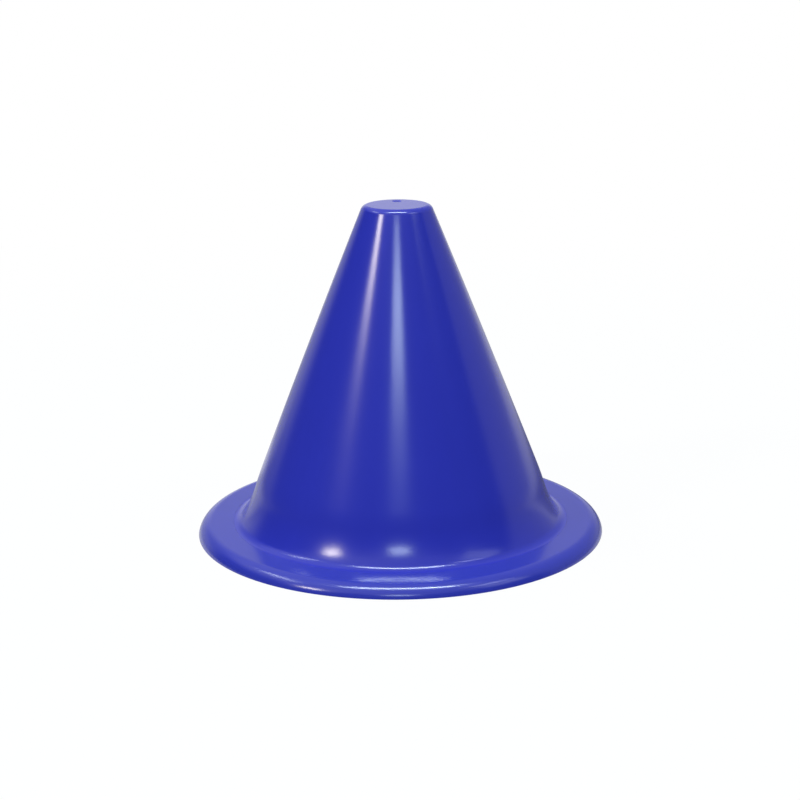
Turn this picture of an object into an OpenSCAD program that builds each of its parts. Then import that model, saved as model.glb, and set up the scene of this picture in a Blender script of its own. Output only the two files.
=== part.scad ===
// Sports marker cone in three pieces: a thin conical shell, a brim that drops over it
// and rests on the shell's foot flange, and a ring that snaps in from below and traps
// that flange. Millimetres, +Z up, origin in the middle of the ground under the cone.
// Angles of curved outlines are those of the surface normal above the horizontal.

/* [Cone] */
// Overall height above the ground
cone_h = 178; // [152:1:230]
// Radius of the flat top, inside its rounded edge
top_flat_r = 15.5; // [13.5:0.1:20]
// Radius of the rounded edge of the top
top_round = 3.8; // [2.6:0.1:5]
// Lean of the slightly bowed wall at its top, in degrees
wall_angle = 22.2; // [21.6:0.1:24]
// Lean of the wall where its bow ends, in degrees
low_wall_angle = 21.1; // [19.6:0.1:21.2]
// Lean of the wall at its waist just above the foot, where it's steepest, in degrees
waist_angle = 17.2; // [16:0.1:19.2]
// Lean of the foot where its wide flare ends, in degrees
flare_angle = 28; // [25:0.5:30]
// Lean of the foot at its lower end, in degrees
foot_angle = 34.5; // [31:0.5:38]
// Radius of the bend from the bowed wall to the waist
bend_r = 140; // [80:5:200]
// Radius of the wide flare below the waist
flare_r = 70; // [55:1:90]
// Radius of the tighter flare that follows it
ankle_r = 41; // [25:1:50]
// Radius of the curve where the foot runs into the brim
foot_fillet = 5.8; // [5:0.1:8]
// Thickness of the moulded wall
wall_t = 1.8; // [1.4:0.1:2.2]

/* [Gate mark] */
// Distance of the mark from the middle of the top, toward the back
gate_offset = 10; // [0:0.5:10.5]
// Radius of the shallow dimple in the top
gate_r = 2.6; // [1.6:0.1:3]
// Depth of the dimple
gate_depth = 0.4; // [0.2:0.05:0.7]
// Radius of the trimmed gate stub in the dimple
stub_r = 0.9; // [0.5:0.1:1.4]
// Distance from the stub's end up to the flat top
stub_drop = 0.1; // [0.05:0.05:0.15]

/* [Foot flange] */
// Width of the hidden flange that the brim rests on
foot_flange_w = 8.5; // [8:0.1:9.5]
// Thickness of the foot flange
foot_flange_t = 1.6; // [1.2:0.1:2]

/* [Brim] */
// Width of the brim from the seam at the foot to the rim's bottom edge
brim_w = 19.1; // [18.2:0.1:26]
// Thickness of the brim and its turned-down rim
brim_t = 1.8; // [1.4:0.1:2.2]
// Radius of the rim's rounding
rim_r = 8.4; // [7.8:0.1:9.5]
// Radius of the tighter curve that leads from the rim to the flat of the brim
crown_r = 7.4; // [4:0.1:7.6]
// Slope of the rim's side at the ground, in degrees
rim_edge_angle = 12; // [8:1:16]
// Slope where the rim's rounding meets the tighter curve, in degrees
rim_turn_angle = 49; // [46:1:60]

/* [Snap fit under the brim] */
// Thickness of the skirt that stands down round the lock ring
skirt_t = 1.6; // [1.2:0.1:2]
// How far the snap bead reaches in under the lock ring
bead_depth = 0.5; // [0.3:0.1:0.7]
// Height of the snap bead, with its lead-in slope
bead_h = 0.8; // [0.8:0.05:1]
// Space between the skirt's lower edge and the ground
ground_gap = 0.3; // [0.2:0.1:0.6]
// Width of the lock ring
lock_w = 7; // [5:0.2:7.2]
// Radial clearance between pieces that fit into each other
fit_gap = 0.1; // [0.05:0.05:0.3]
// Width of the small flats that break sharp edges
edge_break = 0.3; // [0.2:0.05:0.4]

/* [Ribs under the brim] */
// Number of ribs between the skirt and the rim
rib_count = 16; // [8:1:24]
// Thickness of a rib
rib_t = 1.6; // [1.2:0.1:2.4]
// Space between a rib's lower edge and the ground
rib_lift = 2; // [1:0.2:3]

/* [Hidden] */
$fn = 144;
blue = [0.15, 0.19, 0.64];
dark_grey = [0.16, 0.16, 0.18];
// Straight pieces in a rounded corner, in the bow, in the bend and the wide flare, and in the tighter flare
corner_steps = 12;
bow_steps = 6;
flare_steps = 8;
ankle_steps = 4;
// How far a cutter runs past the face that it cuts
overrun = 1;

function toward(a) = [cos(a), sin(a)];
function arc(centre, r, from, to, steps) =
    [for (i = [0:steps]) centre + r * toward(from + (to - from) * i / steps)];
function hollow_arc(centre, r, from, to, steps) =
    [for (i = [0:steps]) centre - r * toward(from + (to - from) * i / steps)];
function reversed(points) = [for (i = [len(points) - 1:-1:0]) points[i]];
function without_first(points) = [for (i = [1:len(points) - 1]) points[i]];

// Heights, from the brim down to the skirt's lower edge
brim_h = rim_r * (sin(rim_turn_angle) - sin(rim_edge_angle)) + crown_r * (1 - sin(rim_turn_angle));
foot_top_z = brim_h - brim_t;
foot_under_z = foot_top_z - foot_flange_t;
skirt_z = ground_gap;
lock_z = skirt_z + bead_h;
lock_t = foot_under_z - lock_z;

// The outer wall, from the rounded top down to the seam: bow, bend, two flares and fillet in turn
top_centre = [top_flat_r, cone_h - top_round];
wall_top = top_centre + top_round * toward(wall_angle);
fillet_rise = foot_fillet * (1 - sin(foot_angle));
ankle_rise = ankle_r * (sin(foot_angle) - sin(flare_angle));
flare_rise = flare_r * (sin(flare_angle) - sin(waist_angle));
bend_rise = bend_r * (sin(low_wall_angle) - sin(waist_angle));
bow_rise = wall_top[1] - brim_h - fillet_rise - ankle_rise - flare_rise - bend_rise;
bow_r = bow_rise / (sin(wall_angle) - sin(low_wall_angle));
bow_centre = wall_top - bow_r * toward(wall_angle);
bend_centre = bow_centre + (bow_r - bend_r) * toward(low_wall_angle);
flare_centre = bend_centre + (bend_r + flare_r) * toward(waist_angle);
ankle_centre = flare_centre - (flare_r - ankle_r) * toward(flare_angle);
fillet_centre = ankle_centre - (ankle_r - foot_fillet) * toward(foot_angle);
seam_r = fillet_centre[0] + edge_break;

// The inner wall, and the corner where it turns out under the foot flange
inner_foot = ankle_centre - (ankle_r + wall_t) * toward(foot_angle);
inner_corner_r = foot_fillet + wall_t;
inner_corner_drop = inner_foot[1] - foot_under_z - inner_corner_r * (1 - sin(foot_angle));
inner_corner = [
    inner_foot[0] + inner_corner_drop * tan(foot_angle) + inner_corner_r * cos(foot_angle),
    foot_under_z + inner_corner_r
];

// Radii of the foot flange, the brim and the snap fit
foot_out_r = seam_r + foot_flange_w;
hole_r = seam_r + fit_gap;
brim_r = seam_r + brim_w;
skirt_r = foot_out_r + fit_gap;
lock_out_r = skirt_r - fit_gap;
lock_in_r = lock_out_r - lock_w;
rim_centre = [brim_r - rim_r * cos(rim_edge_angle), -rim_r * sin(rim_edge_angle)];
crown_centre = rim_centre + (rim_r - crown_r) * toward(rim_turn_angle);

// The wall's outer surface, or the surface at a depth inside it, from the top down to the foot
function wall_line(depth) = concat(
    arc(bow_centre, bow_r - depth, wall_angle, low_wall_angle, bow_steps),
    without_first(arc(bend_centre, bend_r - depth, low_wall_angle, waist_angle, flare_steps)),
    without_first(hollow_arc(flare_centre, flare_r + depth, waist_angle, flare_angle, flare_steps)),
    without_first(hollow_arc(ankle_centre, ankle_r + depth, flare_angle, foot_angle, ankle_steps))
);

function cone_outside() = concat(
    [[seam_r, brim_h - edge_break]],
    hollow_arc(fillet_centre, foot_fillet, 90, foot_angle, corner_steps),
    without_first(reversed(wall_line(0))),
    without_first(arc(top_centre, top_round, wall_angle, 90, corner_steps)),
    [[0, cone_h]]
);

function cone_inside() = concat(
    [[0, cone_h - wall_t]],
    arc(top_centre, top_round - wall_t, 90, wall_angle, corner_steps),
    without_first(wall_line(wall_t)),
    hollow_arc(inner_corner, inner_corner_r, foot_angle, 90, corner_steps)
);

function foot_flange_edge() = [
    [foot_out_r, foot_under_z],
    [foot_out_r, foot_top_z],
    [seam_r, foot_top_z]
];

// The brim's upper surface, or the surface at a depth below it, from the hole to the ground
function brim_line(depth) = concat(
    [[hole_r, brim_h - depth]],
    arc(crown_centre, crown_r - depth, 90, rim_turn_angle, corner_steps),
    arc(rim_centre, rim_r - depth, rim_turn_angle, ground_angle(depth), corner_steps)
);
function ground_angle(depth) = asin(rim_r * sin(rim_edge_angle) / (rim_r - depth));

module under_brim(depth) {
    polygon(concat(brim_line(depth), [[hole_r, 0]]));
}

module brim_section() {
    polygon(concat(
        [[hole_r, brim_h - edge_break], [hole_r + edge_break, brim_h]],
        without_first(brim_line(0)),
        reversed(brim_line(brim_t))
    ));
}

module skirt_section() {
    intersection() {
        under_brim(brim_t / 2);
        polygon([
            [skirt_r, brim_h],
            [skirt_r, lock_z],
            [skirt_r - bead_depth, lock_z],
            [skirt_r - bead_depth, skirt_z + bead_depth],
            [skirt_r, skirt_z],
            [skirt_r + skirt_t, skirt_z],
            [skirt_r + skirt_t, brim_h]
        ]);
    }
}

module rib_section() {
    intersection() {
        under_brim(brim_t / 2);
        translate([skirt_r + skirt_t / 2, rib_lift]) square([brim_r, brim_h]);
    }
}

module ribs() {
    intersection() {
        rotate_extrude() rib_section();
        for (i = [0:rib_count - 1]) {
            rotate([0, 0, 360 * i / rib_count])
                translate([0, -rib_t / 2, 0])
                    cube([brim_r, rib_t, brim_h]);
        }
    }
}

module cone_body() {
    color(blue) {
        difference() {
            rotate_extrude() polygon(concat(cone_outside(), cone_inside(), foot_flange_edge()));
            translate([0, gate_offset, cone_h - gate_depth])
                cylinder(r = gate_r, h = gate_depth + overrun);
        }
        translate([0, gate_offset, cone_h - wall_t / 2])
            cylinder(r = stub_r, h = wall_t / 2 - stub_drop);
    }
}

module base_ring() {
    color(blue) {
        rotate_extrude() {
            brim_section();
            skirt_section();
        }
        ribs();
    }
}

module lock_ring() {
    color(dark_grey)
        rotate_extrude()
            polygon([
                [lock_in_r, lock_z + edge_break],
                [lock_in_r + edge_break, lock_z],
                [lock_out_r, lock_z],
                [lock_out_r, foot_under_z - edge_break],
                [lock_out_r - edge_break, foot_under_z],
                [lock_in_r, foot_under_z]
            ]);
}

cone_body();
base_ring();
lock_ring();
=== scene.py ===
"""Marker cone: a glossy moulded shell, the brim round its foot and a ring snapped in below."""

import logging
import math
from dataclasses import dataclass
from enum import Enum

import bpy
from mathutils import Matrix, Vector


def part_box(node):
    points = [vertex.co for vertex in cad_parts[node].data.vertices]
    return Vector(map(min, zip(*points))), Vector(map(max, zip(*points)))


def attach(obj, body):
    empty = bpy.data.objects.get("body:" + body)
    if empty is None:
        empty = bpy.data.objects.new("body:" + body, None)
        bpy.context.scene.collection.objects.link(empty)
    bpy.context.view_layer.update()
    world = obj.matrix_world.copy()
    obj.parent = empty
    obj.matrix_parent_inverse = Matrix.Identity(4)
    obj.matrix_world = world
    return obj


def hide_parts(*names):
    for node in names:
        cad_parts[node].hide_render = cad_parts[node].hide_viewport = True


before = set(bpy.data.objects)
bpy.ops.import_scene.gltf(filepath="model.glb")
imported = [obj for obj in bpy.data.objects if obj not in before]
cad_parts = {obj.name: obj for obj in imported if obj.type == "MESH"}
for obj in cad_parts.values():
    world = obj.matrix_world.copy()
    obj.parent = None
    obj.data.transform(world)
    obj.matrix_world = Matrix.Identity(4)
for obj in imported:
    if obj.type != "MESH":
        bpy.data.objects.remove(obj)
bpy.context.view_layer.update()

log = logging.getLogger("marker_cone")

FULL_TURN = 2 * math.pi
SEED_FACE = 0.001
WELD_DISTANCE = 2e-6
SMOOTH_DEGREES = 30.0
Point = tuple[float, float]
Tint = tuple[float, float, float]
Tree = bpy.types.NodeTree
Socket = bpy.types.NodeSocket


class Section(Enum):
    """How the outline that is spun about the vertical axis closes."""

    SHELL = "its two ends lie on the axis"
    RING = "its last point joins its first"


class Join(Enum):
    """How another solid changes a piece, by Blender's name for it."""

    ADD = "UNION"
    CUT = "DIFFERENCE"


@dataclass(frozen=True)
class Ramp:
    """A soft step: the input values where it begins and ends, and the results there."""

    begin: float
    end: float
    first: float
    last: float


def toward(degrees: float) -> Point:
    """Gives the unit step at an angle above the horizontal."""
    return math.cos(math.radians(degrees)), math.sin(math.radians(degrees))


def step_from(start: Point, distance: float, degrees: float) -> Point:
    """Gives the point at a distance and an angle from a start."""
    across, up = toward(degrees)
    return start[0] + distance * across, start[1] + distance * up


def arc(centre: Point, radius: float, start: float, end: float, steps: int) -> list[Point]:
    """Gives points along an arc of an outline.

    Args:
        centre: The arc's centre, as radius from the axis and height.
        radius: The arc's radius; a negative one draws a hollow corner, seen from its far side.
        start: Angle of the surface normal at the first point, in degrees.
        end: Angle of the surface normal at the last point, in degrees.
        steps: How many straight pieces the arc has.

    Returns:
        The points from start to end.
    """
    return [step_from(centre, radius, start + (end - start) * i / steps) for i in range(steps + 1)]


def line(start: Point, end: Point, steps: int, support: float = 0.0) -> list[Point]:
    """Gives the points strictly between two ends of a straight stretch.

    Args:
        start: One end.
        end: The other end.
        steps: How many equal pieces the stretch is cut into.
        support: Distance from each end to one more point, which keeps the shading flat.
            Nothing is added where it's 0.

    Returns:
        The points between the ends, without the ends.
    """
    length = math.dist(start, end)
    shares = [i / steps for i in range(1, steps)]
    if support:
        shares = [support / length, *shares, 1 - support / length]
    return [
        (start[0] + (end[0] - start[0]) * s, start[1] + (end[1] - start[1]) * s) for s in shares
    ]


@dataclass(frozen=True)
class ConeForm:
    """The sizes that the pieces share, in metres and degrees.

    They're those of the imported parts, apart from the seam's own rounding and gap.
    """

    height: float
    brim_radius: float
    top_flat_radius: float = 0.0155
    top_round: float = 0.0038
    wall_angle: float = 22.2
    low_wall_angle: float = 21.1
    waist_angle: float = 17.2
    flare_angle: float = 28.0
    foot_angle: float = 34.5
    bend_radius: float = 0.140
    flare_radius: float = 0.070
    ankle_radius: float = 0.041
    foot_fillet: float = 0.0058
    wall: float = 0.0018
    foot_flange_width: float = 0.0085
    foot_flange: float = 0.0016
    brim: float = 0.0018
    rim_radius: float = 0.0084
    crown_radius: float = 0.0074
    rim_edge_angle: float = 12.0
    rim_turn_angle: float = 49.0
    skirt: float = 0.0016
    bead_depth: float = 0.0005
    bead_height: float = 0.0008
    ground_gap: float = 0.0003
    lock_width: float = 0.007
    fit_gap: float = 0.0001
    edge_round: float = 0.0003
    seam_round: float = 0.00005
    seam_gap: float = 0.00002

    @property
    def brim_height(self) -> float:
        """Height of the brim's flat upper face."""
        turn, edge = toward(self.rim_turn_angle)[1], toward(self.rim_edge_angle)[1]
        return self.rim_radius * (turn - edge) + self.crown_radius * (1 - turn)

    @property
    def wall_top(self) -> Point:
        """Point where the wall runs into the rounding of the top."""
        centre = (self.top_flat_radius, self.height - self.top_round)
        return step_from(centre, self.top_round, self.wall_angle)

    @property
    def bow_radius(self) -> float:
        """Radius of the wall's long outward bow."""
        foot, flare = toward(self.foot_angle)[1], toward(self.flare_angle)[1]
        waist = toward(self.waist_angle)[1]
        low, high = toward(self.low_wall_angle)[1], toward(self.wall_angle)[1]
        rise = self.wall_top[1] - self.brim_height - self.foot_fillet * (1 - foot)
        rise -= self.ankle_radius * (foot - flare) + self.flare_radius * (flare - waist)
        return (rise - self.bend_radius * (low - waist)) / (high - low)

    @property
    def seam_radius(self) -> float:
        """Radius of the seam between the cone's foot and the brim."""
        foot, flare = toward(self.foot_angle)[0], toward(self.flare_angle)[0]
        waist = toward(self.waist_angle)[0]
        low, high = toward(self.low_wall_angle)[0], toward(self.wall_angle)[0]
        reach = self.bow_radius * (low - high) + self.bend_radius * (waist - low)
        reach += self.flare_radius * (waist - flare) + self.ankle_radius * (flare - foot)
        reach += self.foot_fillet * foot
        return self.wall_top[0] + reach + self.edge_round

    @property
    def foot_flange_radius(self) -> float:
        """Outer radius of the foot flange."""
        return self.seam_radius + self.foot_flange_width

    @property
    def foot_top(self) -> float:
        """Height of the foot flange's upper face, which carries the brim."""
        return self.brim_height - self.brim

    @property
    def foot_under(self) -> float:
        """Height of the foot flange's lower face."""
        return self.foot_top - self.foot_flange

    @property
    def lock_under(self) -> float:
        """Height of the lock ring's lower face, on the snap bead."""
        return self.ground_gap + self.bead_height

    @property
    def skirt_radius(self) -> float:
        """Inner radius of the skirt round the lock ring."""
        return self.foot_flange_radius + self.fit_gap


def select_nothing() -> None:
    """Deselects every object, because an operator acts on all that is selected."""
    if bpy.context.mode != "OBJECT":
        bpy.ops.object.mode_set(mode="OBJECT")
    bpy.ops.object.select_all(action="DESELECT")


def select_only(piece: bpy.types.Object) -> None:
    """Selects one object and makes it the active one."""
    select_nothing()
    piece.select_set(True)
    bpy.context.view_layer.objects.active = piece


def spun(name: str, outline: list[Point], section: Section, turns: int) -> bpy.types.Object:
    """Models a round piece: one vertex is extruded along the outline, then spun about the axis.

    Args:
        name: Name of the new piece.
        outline: Points as radius from the axis and height, in order.
        section: Whether the outline ends on the axis or closes on itself.
        turns: How many steps the spin has.

    Returns:
        The new object, closed, with its place in its mesh.
    """
    select_nothing()
    start = outline[0]
    bpy.ops.mesh.primitive_plane_add(size=SEED_FACE, location=(start[0], 0, start[1]))
    piece = bpy.context.object
    piece.name = piece.data.name = name
    bpy.ops.object.transform_apply(location=True, rotation=True, scale=True)
    bpy.ops.object.mode_set(mode="EDIT")
    bpy.ops.mesh.select_all(action="SELECT")
    bpy.ops.mesh.merge(type="CENTER")
    path = [*outline, start] if section is Section.RING else outline
    for here, there in zip(path, path[1:]):
        step = (there[0] - here[0], 0, there[1] - here[1])
        bpy.ops.mesh.extrude_region_move(TRANSFORM_OT_translate={"value": step})
    bpy.ops.mesh.select_all(action="SELECT")
    bpy.ops.mesh.spin(steps=turns, angle=FULL_TURN, center=(0, 0, 0), axis=(0, 0, 1))
    bpy.ops.mesh.select_all(action="SELECT")
    bpy.ops.mesh.remove_doubles(threshold=WELD_DISTANCE)
    bpy.ops.mesh.normals_make_consistent(inside=False)
    bpy.ops.object.mode_set(mode="OBJECT")
    return piece


def combine(piece: bpy.types.Object, other: bpy.types.Object, join: Join) -> None:
    """Adds another object to a piece or cuts it away, and removes the other.

    Args:
        piece: The piece to change.
        other: The object that's added or cut away.
        join: Which of the two is done.
    """
    select_only(piece)
    change = piece.modifiers.new("combine", "BOOLEAN")
    change.operation = join.value
    change.solver = "EXACT"
    change.object = other
    bpy.ops.object.modifier_apply(modifier=change.name)
    bpy.data.objects.remove(other)


def smooth(piece: bpy.types.Object) -> None:
    """Shades a piece smooth, with its sharper edges left crisp."""
    select_only(piece)
    bpy.ops.object.shade_smooth_by_angle(angle=math.radians(SMOOTH_DEGREES))


def dress(piece: bpy.types.Object, material: bpy.types.Material, node: str) -> None:
    """Gives a finished piece its material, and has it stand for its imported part.

    Args:
        piece: The modelled piece.
        material: Its finish.
        node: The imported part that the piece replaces.
    """
    piece.data.materials.clear()
    piece.data.materials.append(material)
    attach(piece, "root")
    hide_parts(node)


@dataclass
class ConeShell:
    """The thin conical shell, with its closed top, gate mark, flared foot and foot flange."""

    form: ConeForm
    gate_offset: float = 0.01
    gate_radius: float = 0.0026
    gate_depth: float = 0.0004
    stub_radius: float = 0.0009
    stub_drop: float = 0.0001
    corner_steps: int = 24
    flare_steps: int = 12
    wall_steps: int = 28
    bend_steps: int = 6
    spin_steps: int = 256
    gate_steps: int = 48
    gate_lip: float = 0.0001
    gate_slope: float = 0.0006
    gate_lip_drop: float = 0.00005
    stub_slope: float = 0.0003
    stub_edge_drop: float = 0.0001
    support: float = 0.0006
    node: str = "cone_body"

    def gate_mark(self) -> bpy.types.Object:
        """Models the gate mark's hollow, a dimple round a trimmed stub, toward the top's back."""
        top = self.form.height
        floor = top - self.gate_depth
        stub = top - self.stub_drop
        lip = self.gate_radius + self.gate_lip
        outline = [
            (0.0, stub),
            (self.stub_radius - self.stub_slope, stub),
            (self.stub_radius, stub - self.stub_edge_drop),
            (self.stub_radius, floor),
            (self.gate_radius - self.gate_slope, floor),
            (self.gate_radius, top - self.gate_lip_drop),
            (lip, top),
            (lip, top + self.gate_depth),
            (0.0, top + self.gate_depth),
        ]
        piece = spun("gate_mark", outline, Section.SHELL, self.gate_steps)
        piece.data.transform(Matrix.Translation((0, self.gate_offset, 0)))
        return piece

    def wall(self, depth: float) -> list[Point]:
        """Draws the wall's surface, or one inside it, from the top's rounding down to the foot.

        Args:
            depth: How far under the outer surface the line runs.

        Returns:
            The points of the bowed wall, the bend to the steeper waist, the flare and the ankle.
        """
        f = self.form
        bow = step_from(f.wall_top, -f.bow_radius, f.wall_angle)
        bend = step_from(bow, f.bow_radius - f.bend_radius, f.low_wall_angle)
        flare = step_from(bend, f.bend_radius + f.flare_radius, f.waist_angle)
        ankle = step_from(flare, f.ankle_radius - f.flare_radius, f.flare_angle)
        spans = (
            (bow, f.bow_radius, f.wall_angle, f.low_wall_angle, self.wall_steps),
            (bend, f.bend_radius, f.low_wall_angle, f.waist_angle, self.bend_steps),
            (flare, -f.flare_radius, f.waist_angle, f.flare_angle, self.flare_steps),
            (ankle, -f.ankle_radius, f.flare_angle, f.foot_angle, self.flare_steps),
        )
        points = [step_from(f.wall_top, -depth, f.wall_angle)]
        for centre, radius, start, end, steps in spans:
            points += arc(centre, radius - depth, start, end, steps)[1:]
        return points

    def outside(self) -> list[Point]:
        """Draws the outer surface, from the middle of the top down to the seam with the brim."""
        f = self.form
        top_centre = (f.top_flat_radius, f.height - f.top_round)
        rounded = arc(top_centre, f.top_round, 90, f.wall_angle, self.corner_steps)
        fillet_centre = (f.seam_radius - f.edge_round, f.brim_height + f.foot_fillet)
        fillet = arc(fillet_centre, -f.foot_fillet, f.foot_angle, 90, self.corner_steps)
        edge_centre = (f.seam_radius - f.seam_round, f.brim_height - f.seam_round)
        edge = arc(edge_centre, f.seam_round, 90, 0, self.corner_steps // 6)
        middle = (0.0, f.height)
        flat = line(middle, rounded[0], self.corner_steps // 4, self.support)
        return [middle, *flat, *rounded, *self.wall(0)[1:], *fillet[1:], *edge]

    def inside(self) -> list[Point]:
        """Draws the foot flange and the inner surface, from the seam back up to the axis."""
        f = self.form
        wall = self.wall(f.wall)[::-1]
        corner = f.foot_fillet + f.wall
        across, up = toward(f.foot_angle)
        drop = wall[0][1] - f.foot_under - corner * (1 - up)
        lean = math.tan(math.radians(f.foot_angle))
        corner_centre = (wall[0][0] + drop * lean + corner * across, f.foot_under + corner)
        turn = arc(corner_centre, -corner, 90, f.foot_angle, self.corner_steps // 2)
        top_centre = (f.top_flat_radius, f.height - f.top_round)
        top = arc(top_centre, f.top_round - f.wall, f.wall_angle, 90, self.corner_steps // 2)
        flange = [
            (f.seam_radius, f.foot_top),
            (f.foot_flange_radius, f.foot_top),
            (f.foot_flange_radius, f.foot_under),
        ]
        return [*flange, *turn, *wall, *top[1:], (0.0, f.height - f.wall)]

    def build(self) -> bpy.types.Object:
        """Models the shell, and cuts the gate mark into its top."""
        outline = [*self.outside(), *self.inside()]
        piece = spun("cone_shell", outline, Section.SHELL, self.spin_steps)
        combine(piece, self.gate_mark(), Join.CUT)
        smooth(piece)
        return piece

    def finish(self, material: bpy.types.Material) -> bpy.types.Object:
        """Builds the shell and dresses it."""
        piece = self.build()
        dress(piece, material, self.node)
        return piece


@dataclass
class Brim:
    """The round brim with its turned-down rim, and the skirt, snap bead and ribs under it."""

    form: ConeForm
    rib_count: int = 16
    rib_width: float = 0.0016
    rib_lift: float = 0.002
    rib_crown_steps: int = 4
    rib_rim_steps: int = 8
    corner_steps: int = 24
    spin_steps: int = 256
    support: float = 0.0004
    node: str = "base_ring"

    def rim_centre(self) -> Point:
        """Centre of the rim's rounding."""
        f = self.form
        across, up = toward(f.rim_edge_angle)
        return f.brim_radius - f.rim_radius * across, -f.rim_radius * up

    def crown_centre(self) -> Point:
        """Centre of the tighter curve between the rim and the flat of the brim."""
        f = self.form
        return step_from(self.rim_centre(), f.rim_radius - f.crown_radius, f.rim_turn_angle)

    def ground_angle(self, depth: float) -> float:
        """Angle at which the rim's surface, or one at a depth under it, meets the ground."""
        f = self.form
        drop = f.rim_radius * math.sin(math.radians(f.rim_edge_angle))
        return math.degrees(math.asin(drop / (f.rim_radius - depth)))

    def outline(self) -> list[Point]:
        """Draws the section, from the hole's upper edge out to the ground and back underneath."""
        f = self.form
        hole = f.seam_radius + f.seam_gap
        edge_centre = (hole + f.seam_round, f.brim_height - f.seam_round)
        edge = arc(edge_centre, f.seam_round, 180, 90, self.corner_steps // 6)
        rim, crown = self.rim_centre(), self.crown_centre()
        ground, inner_ground = self.ground_angle(0), self.ground_angle(f.brim)
        top_crown = arc(crown, f.crown_radius, 90, f.rim_turn_angle, self.corner_steps)
        top_rim = arc(rim, f.rim_radius, f.rim_turn_angle, ground, self.corner_steps)
        under_rim = arc(
            rim, f.rim_radius - f.brim, inner_ground, f.rim_turn_angle, self.corner_steps // 2
        )
        under_crown = arc(
            crown, f.crown_radius - f.brim, f.rim_turn_angle, 90, self.corner_steps // 3
        )
        flat = line(edge[-1], top_crown[0], self.corner_steps // 3, self.support)
        skirt_out = f.skirt_radius + f.skirt
        skirt = [
            (skirt_out, f.foot_top),
            (skirt_out, f.ground_gap),
            (f.skirt_radius, f.ground_gap),
            (f.skirt_radius - f.bead_depth, f.ground_gap + f.bead_depth),
            (f.skirt_radius - f.bead_depth, f.lock_under),
            (f.skirt_radius, f.lock_under),
            (f.skirt_radius, f.foot_top),
            (hole, f.foot_top),
        ]
        return [*edge, *flat, *top_crown, *top_rim[1:], *under_rim, *under_crown[1:], *skirt]

    def rib(self, number: int) -> bpy.types.Object:
        """Models one rib between the skirt and the rim, standing under the brim.

        Args:
            number: Which rib it is, counted round from +X.

        Returns:
            The rib, which still has to be joined to the brim.
        """
        f = self.form
        sunk = f.brim / 2
        inner = f.skirt_radius + f.skirt / 2
        rim, rim_radius = self.rim_centre(), f.rim_radius - sunk
        crown, crown_radius = self.crown_centre(), f.crown_radius - sunk
        end = math.degrees(math.asin((self.rib_lift - rim[1]) / rim_radius))
        corners = [
            (inner, f.brim_height - sunk),
            *arc(crown, crown_radius, 90, f.rim_turn_angle, self.rib_crown_steps),
            *arc(rim, rim_radius, f.rim_turn_angle, end, self.rib_rim_steps)[1:],
            (inner, self.rib_lift),
        ]
        select_nothing()
        bpy.ops.mesh.primitive_circle_add(
            vertices=len(corners), radius=self.rib_width, fill_type="NGON", location=(0, 0, 0)
        )
        piece = bpy.context.object
        for vertex, (across, up) in zip(piece.data.vertices, corners):
            vertex.co = (across, -self.rib_width / 2, up)
        bpy.ops.object.mode_set(mode="EDIT")
        bpy.ops.mesh.select_all(action="SELECT")
        bpy.ops.mesh.extrude_region_move(TRANSFORM_OT_translate={"value": (0, self.rib_width, 0)})
        bpy.ops.mesh.select_all(action="SELECT")
        bpy.ops.mesh.normals_make_consistent(inside=False)
        bpy.ops.object.mode_set(mode="OBJECT")
        piece.data.transform(Matrix.Rotation(FULL_TURN * number / self.rib_count, 4, "Z"))
        return piece

    def build(self) -> bpy.types.Object:
        """Models the brim, and joins the ribs to it."""
        piece = spun("brim", self.outline(), Section.RING, self.spin_steps)
        ribs = [self.rib(number) for number in range(self.rib_count)]
        select_nothing()
        for rib in ribs:
            rib.select_set(True)
        bpy.context.view_layer.objects.active = ribs[0]
        bpy.ops.object.join()
        combine(piece, bpy.context.object, Join.ADD)
        smooth(piece)
        return piece

    def finish(self, material: bpy.types.Material) -> bpy.types.Object:
        """Builds the brim and dresses it."""
        piece = self.build()
        dress(piece, material, self.node)
        return piece


@dataclass
class LockRing:
    """The flat ring that is pushed in under the foot flange and held by the snap bead."""

    form: ConeForm
    spin_steps: int = 256
    corner_steps: int = 5
    node: str = "lock_ring"

    def outline(self) -> list[Point]:
        """Draws the section, with rounded edges where the ring's pushed in and handled."""
        f = self.form
        out, inn = f.foot_flange_radius, f.foot_flange_radius - f.lock_width
        low, high, soft = f.lock_under, f.foot_under, f.edge_round
        return [
            (out, low),
            *arc((out - soft, high - soft), soft, 0, 90, self.corner_steps),
            (inn, high),
            *arc((inn + soft, low + soft), soft, 180, 270, self.corner_steps),
        ]

    def build(self) -> bpy.types.Object:
        """Models the ring."""
        piece = spun("snap_ring", self.outline(), Section.RING, self.spin_steps)
        smooth(piece)
        return piece

    def finish(self, material: bpy.types.Material) -> bpy.types.Object:
        """Builds the ring and dresses it."""
        piece = self.build()
        dress(piece, material, self.node)
        return piece


def add_node(tree: Tree, kind: str, **settings: object) -> bpy.types.Node:
    """Adds a node and sets its own settings.

    Args:
        tree: The node tree to add it to.
        kind: Blender's name for the node's type.
        settings: Settings of the node, by name.

    Returns:
        The new node.
    """
    node = tree.nodes.new(kind)
    for name, value in settings.items():
        setattr(node, name, value)
    return node


def feed(tree: Tree, value: object, socket: Socket) -> None:
    """Gives an input socket a number, or links an output socket to it."""
    if isinstance(value, (int, float)):
        socket.default_value = value
    else:
        tree.links.new(value, socket)


def maths(tree: Tree, operation: str, first: object, second: object = 0.0) -> Socket:
    """Adds a Math node.

    Args:
        tree: The node tree to add it to.
        operation: The node's operation.
        first: A socket or a number for the first input.
        second: A socket or a number for the second input.

    Returns:
        The output socket.
    """
    node = add_node(tree, "ShaderNodeMath", operation=operation)
    for socket, value in zip(node.inputs, (first, second)):
        feed(tree, value, socket)
    return node.outputs[0]


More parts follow.
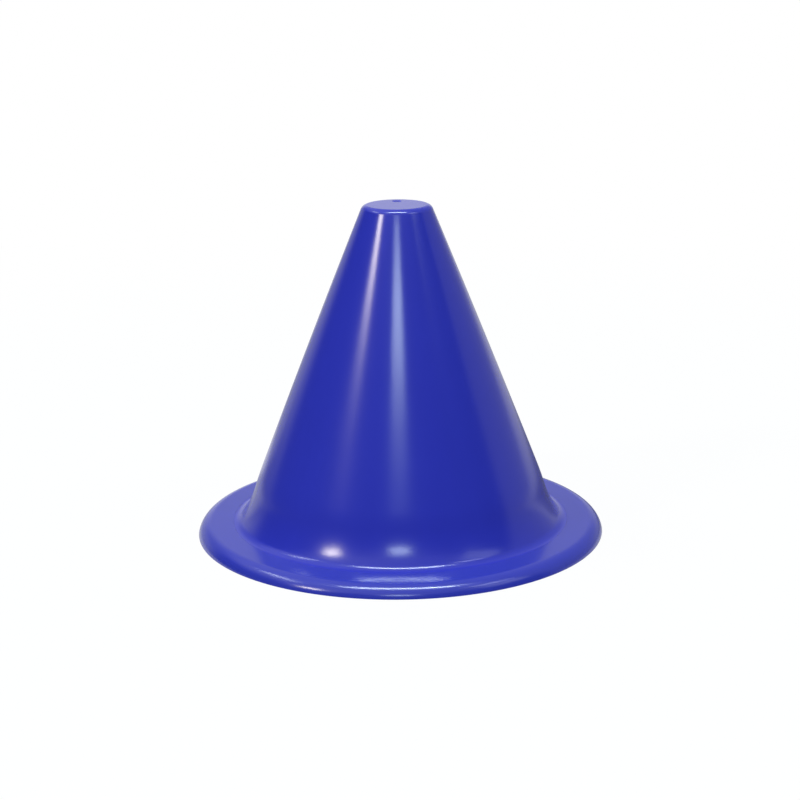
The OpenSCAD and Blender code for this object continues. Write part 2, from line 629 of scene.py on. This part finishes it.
def product(tree: Tree, *factors: Socket) -> Socket:
    """Multiplies sockets with each other, in order, and gives the output socket."""
    result = factors[0]
    for factor in factors[1:]:
        result = maths(tree, "MULTIPLY", result, factor)
    return result


def stepped(tree: Tree, value: Socket, ramp: Ramp) -> Socket:
    """Adds a soft step from one value to another.

    Args:
        tree: The node tree to add it to.
        value: The socket that drives the step.
        ramp: Where the step lies, and its results.

    Returns:
        The output socket.
    """
    node = add_node(tree, "ShaderNodeMapRange", interpolation_type="SMOOTHSTEP")
    feed(tree, ramp.begin, node.inputs["From Min"])
    feed(tree, ramp.end, node.inputs["From Max"])
    feed(tree, ramp.first, node.inputs["To Min"])
    feed(tree, ramp.last, node.inputs["To Max"])
    feed(tree, value, node.inputs["Value"])
    return node.outputs[0]


def split(tree: Tree, vector: Socket) -> tuple[Socket, ...]:
    """Splits a vector into its X, Y and Z."""
    node = add_node(tree, "ShaderNodeSeparateXYZ")
    feed(tree, vector, node.inputs[0])
    return tuple(node.outputs)


def joined(tree: Tree, *parts: object) -> Socket:
    """Joins up to three numbers or sockets into a vector."""
    node = add_node(tree, "ShaderNodeCombineXYZ")
    for part, socket in zip(parts, node.inputs):
        feed(tree, part, socket)
    return node.outputs[0]


def empty_material(name: str) -> tuple[bpy.types.Material, Tree]:
    """Makes a material whose node tree is still empty, and gives both."""
    made = bpy.data.materials.new(name)
    made.use_nodes = True
    made.node_tree.nodes.clear()
    return made, made.node_tree


@dataclass(frozen=True)
class Noise:
    """A cloudy pattern."""

    scale: float
    detail: float

    def add(self, tree: Tree, place: Socket) -> Socket:
        """Adds the pattern over a place, and gives its strength from 0 to 1."""
        node = add_node(tree, "ShaderNodeTexNoise")
        feed(tree, self.scale, node.inputs["Scale"])
        feed(tree, self.detail, node.inputs["Detail"])
        feed(tree, place, node.inputs["Vector"])
        return node.outputs["Fac"]


@dataclass(frozen=True)
class MouldedSurface:
    """What a moulded surface shows from close by: flow lines, handling marks and faint ripple."""

    flow: Noise = Noise(9.0, 3.0)
    flow_along: float = 1.5
    cloud: Noise = Noise(28.0, 2.0)
    grain: Noise = Noise(900.0, 2.0)
    patches: Noise = Noise(60.0, 4.0)
    ripple: Noise = Noise(70.0, 1.0)

    def flow_place(self, group: Tree, place: Socket) -> Socket:
        """Bends a place for the flow lines, which run from the gate in the top down the wall.

        Args:
            group: The node group.
            place: The place on the piece.

        Returns:
            The direction round the axis, with the height drawn out.
        """
        across, back, up = split(group, place)
        round_way = add_node(group, "ShaderNodeVectorMath", operation="NORMALIZE")
        feed(group, joined(group, across, back), round_way.inputs[0])
        around = split(group, round_way.outputs[0])
        along = maths(group, "MULTIPLY", up, self.flow_along)
        return joined(group, around[0], around[1], along)

    def group(self) -> Tree:
        """Makes the node group.

        Returns:
            The group, whose inputs are Tint, Flow, Scuff, Ripple and Roughness, and whose outputs
            are Color, Roughness and Height.
        """
        group = bpy.data.node_groups.new("moulded_surface", "ShaderNodeTree")
        face = group.interface
        face.new_socket("Tint", in_out="INPUT", socket_type="NodeSocketColor")
        for name in ("Flow", "Scuff", "Ripple", "Roughness"):
            face.new_socket(name, in_out="INPUT", socket_type="NodeSocketFloat")
        face.new_socket("Color", in_out="OUTPUT", socket_type="NodeSocketColor")
        face.new_socket("Roughness", in_out="OUTPUT", socket_type="NodeSocketFloat")
        face.new_socket("Height", in_out="OUTPUT", socket_type="NodeSocketFloat")
        given = add_node(group, "NodeGroupInput").outputs
        result = add_node(group, "NodeGroupOutput").inputs
        place = add_node(group, "ShaderNodeTexCoord").outputs["Object"]

        # Flow lines and clouds, which average a half each, make the colour a little uneven
        flow = self.flow.add(group, self.flow_place(group, place))
        uneven = maths(group, "ADD", flow, self.cloud.add(group, place))
        uneven = product(group, maths(group, "SUBTRACT", uneven, 1.0), given["Flow"])
        tone = add_node(group, "ShaderNodeHueSaturation")
        feed(group, given["Tint"], tone.inputs["Color"])
        feed(group, maths(group, "ADD", uneven, 1.0), tone.inputs["Value"])
        feed(group, tone.outputs["Color"], result["Color"])

        # Handling leaves fine, short marks and dull patches
        grain, patches = self.grain.add(group, place), self.patches.add(group, place)
        dull = product(group, grain, patches, given["Scuff"])
        feed(group, maths(group, "ADD", given["Roughness"], dull), result["Roughness"])

        # The mould's polish leaves a long, shallow ripple
        high = product(group, self.ripple.add(group, place), given["Ripple"])
        feed(group, high, result["Height"])
        return group


@dataclass(frozen=True)
class MouldedPlastic:
    """A moulded plastic finish."""

    name: str
    tint: Tint
    roughness: float
    flow: float = 0.05
    scuff: float = 0.04
    ripple: float = 0.6
    ripple_depth: float = 0.0000015
    ior: float = 1.58

    def material(self, surface: Tree) -> bpy.types.Material:
        """Makes the material.

        Args:
            surface: The node group of moulded surfaces.

        Returns:
            The material.
        """
        made, tree = empty_material(self.name)
        out = add_node(tree, "ShaderNodeOutputMaterial")
        shader = add_node(tree, "ShaderNodeBsdfPrincipled")
        shader.inputs["IOR"].default_value = self.ior
        skin = add_node(tree, "ShaderNodeGroup", node_tree=surface)
        skin.inputs["Tint"].default_value = (*self.tint, 1)
        skin.inputs["Flow"].default_value = self.flow
        skin.inputs["Scuff"].default_value = self.scuff
        skin.inputs["Ripple"].default_value = self.ripple
        skin.inputs["Roughness"].default_value = self.roughness
        bump = add_node(tree, "ShaderNodeBump")
        bump.inputs["Strength"].default_value = 1.0
        bump.inputs["Distance"].default_value = self.ripple_depth
        feed(tree, skin.outputs["Color"], shader.inputs["Base Color"])
        feed(tree, skin.outputs["Roughness"], shader.inputs["Roughness"])
        feed(tree, skin.outputs["Height"], bump.inputs["Height"])
        feed(tree, bump.outputs["Normal"], shader.inputs["Normal"])
        feed(tree, shader.outputs[0], out.inputs["Surface"])
        return made


@dataclass(frozen=True)
class SoftLight:
    """A soft studio light, given by the directions that it fills as the cone sees it."""

    name: str
    azimuth: float
    elevation: float
    degrees_wide: float
    degrees_high: float
    radiance: float
    tint: Tint = (1.0, 1.0, 1.0)
    distance: float = 6.0
    aim: tuple[float, float, float] = (0.0, 0.0, 0.09)

    def across(self, degrees: float) -> float:
        """Gives the width that fills an angle at the light's distance."""
        return 2 * self.distance * math.tan(math.radians(degrees / 2))

    def place(self) -> bpy.types.Object:
        """Adds the light. Azimuth 0 is on the camera's side, and positive ones are to its right."""
        a, e = math.radians(self.azimuth), math.radians(self.elevation)
        way = Vector((math.sin(a) * math.cos(e), -math.cos(a) * math.cos(e), math.sin(e)))
        lamp = bpy.data.lights.new(self.name, "AREA")
        lamp.shape = "RECTANGLE"
        lamp.size, lamp.size_y = self.across(self.degrees_wide), self.across(self.degrees_high)
        lamp.energy = self.radiance * math.pi * lamp.size * lamp.size_y
        lamp.color = self.tint
        holder = bpy.data.objects.new(self.name, lamp)
        bpy.context.scene.collection.objects.link(holder)
        holder.location = Vector(self.aim) + way * self.distance
        holder.rotation_euler = way.to_track_quat("Z", "Y").to_euler()
        holder.visible_camera = False
        return holder


@dataclass(frozen=True)
class FloorPaintedShadow:
    """Painted shadow on the floor's glow, as reflections see it: how much dimmer the floor behind
    the cone shows in reflections than it looks, by the place on it. It stands in for the cone's
    cast shadow and for shade on the floor round it.

    A slant is how far a place lies to the side, as a share of how far it lies back.
    """

    behind: Ramp = Ramp(-0.06, 0.05, 0.0, 1.0)
    least_back: float = 0.01
    shadow_slant: Ramp = Ramp(-0.42, -0.25, 0.5, 0.2)
    far_left_slant: Ramp = Ramp(-1.05, -0.78, 0.32, 0.0)
    lit_distance: Ramp = Ramp(0.24, 0.4, 0.42, 0.0)
    right_distance: Ramp = Ramp(0.2, 0.55, 0.85, 0.35)
    far_right_distance: Ramp = Ramp(0.7, 1.1, 0.0, 0.09)
    right_side: Ramp = Ramp(-0.05, 0.05, 0.0, 1.0)

    def painted_shadow(self, tree: Tree, place: Socket, distance: Socket) -> Socket:
        """Adds the painted shadow: the share by which the floor's glow is darkened in reflections.

        Args:
            tree: The floor's node tree.
            place: The place on the floor.
            distance: How far that place is from the cone's axis.

        Returns:
            The output socket.
        """
        across, back, _ = split(tree, place)
        slant = maths(tree, "DIVIDE", across, maths(tree, "MAXIMUM", back, self.least_back))
        left = stepped(tree, slant, self.shadow_slant)
        left = maths(tree, "ADD", left, stepped(tree, slant, self.far_left_slant))
        left = maths(tree, "SUBTRACT", left, stepped(tree, distance, self.lit_distance))
        right = stepped(tree, distance, self.right_distance)
        right = maths(tree, "SUBTRACT", right, stepped(tree, distance, self.far_right_distance))
        sides = add_node(tree, "ShaderNodeMix")
        feed(tree, stepped(tree, across, self.right_side), sides.inputs["Factor"])
        feed(tree, maths(tree, "MAXIMUM", left, 0.0), sides.inputs["A"])
        feed(tree, right, sides.inputs["B"])
        return product(tree, stepped(tree, back, self.behind), sides.outputs["Result"])


@dataclass(frozen=True)
class Surround:
    """How bright the surround is by direction, apart from how the camera sees it.

    It's pale overhead and behind the cone, a little less pale behind and to the right, and dark
    elsewhere. Each ramp goes with one part of a direction: across, back or up.
    """

    overhead_up: Ramp = Ramp(0.45, 0.65, 0.0, 1.0)
    overhead_across: Ramp = Ramp(-0.9, 0.9, 0.85, 0.35)
    backdrop_back: Ramp = Ramp(0.45, 0.8, 0.0, 1.0)
    backdrop_up: Ramp = Ramp(0.15, 0.34, 1.0, 0.55)
    backdrop_aside: Ramp = Ramp(0.15, 0.45, 1.0, 0.55)
    backdrop_across: Ramp = Ramp(-0.3, 0.3, 1.15, 0.95)
    right_wall_back: Ramp = Ramp(-0.08, 0.06, 0.0, 0.4)
    right_wall_across: Ramp = Ramp(0.0, 0.3, 0.0, 1.0)

    def shade(self, tree: Tree) -> Socket:
        """Adds the brightness by direction, and gives the output socket."""
        across, back, up = split(tree, add_node(tree, "ShaderNodeTexCoord").outputs["Generated"])
        ceiling = product(
            tree, stepped(tree, up, self.overhead_up), stepped(tree, across, self.overhead_across)
        )
        backdrop = product(
            tree,
            stepped(tree, back, self.backdrop_back),
            stepped(tree, up, self.backdrop_up),
            stepped(tree, maths(tree, "ABSOLUTE", across), self.backdrop_aside),
            stepped(tree, across, self.backdrop_across),
        )
        right_wall = product(
            tree,
            stepped(tree, back, self.right_wall_back),
            stepped(tree, across, self.right_wall_across),
        )
        return maths(tree, "MAXIMUM", maths(tree, "MAXIMUM", ceiling, backdrop), right_wall)


@dataclass
class Studio:
    """The pale floor, the white surround, the lights and the camera at the photograph's angle."""

    camera_back: float = 0.9909
    camera_height: float = 0.3472
    camera_pitch: float = 15.54
    camera_roll: float = 0.65
    focal_pixels: float = 1910.0
    photo_pixels: float = 800.0
    sensor: float = 36.0
    centre_pixel: Point = (399.0, 400.0)
    floor_size: float = 14.0
    floor_tint: Ramp = Ramp(0.0, 1.0, 0.52, 0.83)
    floor_glow: Ramp = Ramp(0.3, 0.9, 0.9, 1.0)
    # Painted shadow that darkens the floor's glow in reflections behind the cone
    mirror: FloorPaintedShadow = FloorPaintedShadow()
    surround: Surround = Surround()
    lights: tuple[SoftLight, ...] = ()

    def camera(self) -> bpy.types.Object:
        """Adds the camera that the photograph's outline gives."""
        data = bpy.data.cameras.new("camera")
        data.sensor_width = self.sensor
        data.lens = self.focal_pixels * self.sensor / self.photo_pixels
        half = self.photo_pixels / 2
        data.shift_x = (half - self.centre_pixel[0]) / self.photo_pixels
        data.shift_y = (self.centre_pixel[1] - half) / self.photo_pixels
        holder = bpy.data.objects.new("camera", data)
        bpy.context.scene.collection.objects.link(holder)
        holder.location = (0, -self.camera_back, self.camera_height)
        look = Matrix.Rotation(math.radians(90 - self.camera_pitch), 4, "X")
        roll = Matrix.Rotation(math.radians(-self.camera_roll), 4, "Z")
        holder.rotation_euler = (look @ roll).to_euler()
        bpy.context.scene.camera = holder
        return holder

    def floor_paper(self) -> bpy.types.Material:
        """Makes the floor's material.

        Returns:
            The material, which glows white to the camera and in reflections and is plain paper to
            all other light. In reflections its glow carries a painted shadow behind the cone. Near
            the cone the camera sees some of the paper, with the shadow on it.
        """
        made, tree = empty_material("floor_white")
        place = add_node(tree, "ShaderNodeTexCoord").outputs["Object"]
        away = add_node(tree, "ShaderNodeVectorMath", operation="LENGTH")
        feed(tree, place, away.inputs[0])
        distance = away.outputs["Value"]
        path = add_node(tree, "ShaderNodeLightPath").outputs
        camera = path["Is Camera Ray"]
        paper = add_node(tree, "ShaderNodeBsdfDiffuse")
        feed(tree, stepped(tree, camera, self.floor_tint), paper.inputs["Color"])
        glow = add_node(tree, "ShaderNodeEmission")
        # Painted shadow: reflections see the floor's glow darkened where the cone's shadow and the
        # shade round it would fall
        painted_shadow = self.mirror.painted_shadow(tree, place, distance)
        painted_shadow = product(tree, painted_shadow, maths(tree, "SUBTRACT", 1.0, camera))
        feed(tree, maths(tree, "SUBTRACT", 1.0, painted_shadow), glow.inputs["Strength"])
        seen = product(tree, camera, stepped(tree, distance, self.floor_glow))
        mirrored = maths(tree, "MAXIMUM", path["Is Glossy Ray"], path["Is Transmission Ray"])
        mix = add_node(tree, "ShaderNodeMixShader")
        feed(tree, maths(tree, "MAXIMUM", seen, mirrored), mix.inputs["Fac"])
        feed(tree, paper.outputs[0], mix.inputs[1])
        feed(tree, glow.outputs[0], mix.inputs[2])
        out = add_node(tree, "ShaderNodeOutputMaterial")
        feed(tree, mix.outputs[0], out.inputs["Surface"])
        return made

    def floor(self) -> bpy.types.Object:
        """Lays the floor under the cone."""
        select_nothing()
        bpy.ops.mesh.primitive_plane_add(size=self.floor_size)
        sheet = bpy.context.object
        sheet.name = "floor"
        sheet.data.materials.append(self.floor_paper())
        return sheet

    def world(self) -> bpy.types.World:
        """Sets the surround, which is white to the camera."""
        made = bpy.data.worlds.new("studio")
        bpy.context.scene.world = made
        made.use_nodes = True
        tree = made.node_tree
        tree.nodes.clear()
        dim = add_node(tree, "ShaderNodeBackground")
        feed(tree, self.surround.shade(tree), dim.inputs["Strength"])
        white = add_node(tree, "ShaderNodeBackground")
        path = add_node(tree, "ShaderNodeLightPath")
        mix = add_node(tree, "ShaderNodeMixShader")
        feed(tree, path.outputs["Is Camera Ray"], mix.inputs["Fac"])
        feed(tree, dim.outputs[0], mix.inputs[1])
        feed(tree, white.outputs[0], mix.inputs[2])
        out = add_node(tree, "ShaderNodeOutputWorld")
        feed(tree, mix.outputs[0], out.inputs["Surface"])
        return made

    def build(self) -> None:
        """Sets up the camera, the floor, the surround and the lights."""
        self.camera()
        self.floor()
        self.world()
        for light in self.lights:
            light.place()
        bpy.context.scene.view_settings.view_transform = "Standard"


CONE_BLUE = MouldedPlastic("cone_blue", tint=(0.027, 0.036, 0.445), roughness=0.18)
# The brim's own blue, made greyer and less blue than the cone's as a painted sheen of the overhead
# light on its upward face
BRIM_BLUE_AND_PAINTED_SHEEN = MouldedPlastic("brim_blue", tint=(0.03, 0.041, 0.415), roughness=0.18)
RING_GREY = MouldedPlastic("ring_grey", tint=(0.03, 0.03, 0.035), roughness=0.45)

PALE_BLUE: Tint = (0.85, 0.92, 1.0)
CEILING_DISTANCE = 20.0
STUDIO_LIGHTS = (
    SoftLight(
        "centre_row",
        azimuth=-0.7,
        elevation=31.0,
        degrees_wide=13.0,
        degrees_high=2.5,
        radiance=23.0,
        tint=(0.78, 0.93, 1.0),
        distance=CEILING_DISTANCE,
    ),
    SoftLight(
        "left_row",
        azimuth=-54.6,
        elevation=31.0,
        degrees_wide=10.0,
        degrees_high=6.0,
        radiance=28.5,
        tint=(1.0, 0.9, 0.74),
        distance=CEILING_DISTANCE,
    ),
    SoftLight(
        "right_row",
        azimuth=66.0,
        elevation=36.0,
        degrees_wide=24.0,
        degrees_high=12.0,
        radiance=1.2,
        tint=(0.9, 0.98, 1.0),
        distance=CEILING_DISTANCE,
    ),
    SoftLight(
        "front_top",
        azimuth=0.0,
        elevation=79.0,
        degrees_wide=38.0,
        degrees_high=4.4,
        radiance=44.0,
        tint=(0.8, 0.94, 1.0),
    ),
    SoftLight(
        "left_top",
        azimuth=-98.0,
        elevation=49.0,
        degrees_wide=24.0,
        degrees_high=4.0,
        radiance=9.5,
        tint=PALE_BLUE,
    ),
    SoftLight(
        "right_top",
        azimuth=64.0,
        elevation=49.0,
        degrees_wide=20.0,
        degrees_high=4.0,
        radiance=6.4,
        tint=PALE_BLUE,
    ),
)


def cone_form() -> ConeForm:
    """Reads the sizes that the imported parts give, and keeps the others as named."""
    return ConeForm(height=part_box("cone_body")[1].z, brim_radius=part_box("base_ring")[1].x)


def main() -> None:
    """Builds and dresses the pieces in order, then the studio round them."""
    form = cone_form()
    surface = MouldedSurface().group()
    for part, plastic in (
        (ConeShell(form), CONE_BLUE),
        (Brim(form), BRIM_BLUE_AND_PAINTED_SHEEN),
        (LockRing(form), RING_GREY),
    ):
        piece = part.finish(plastic.material(surface))
        log.info("%s: %d faces", piece.name, len(piece.data.polygons))
    Studio(lights=STUDIO_LIGHTS).build()


if __name__ == "__main__":
    logging.basicConfig(level=logging.INFO)
    main()
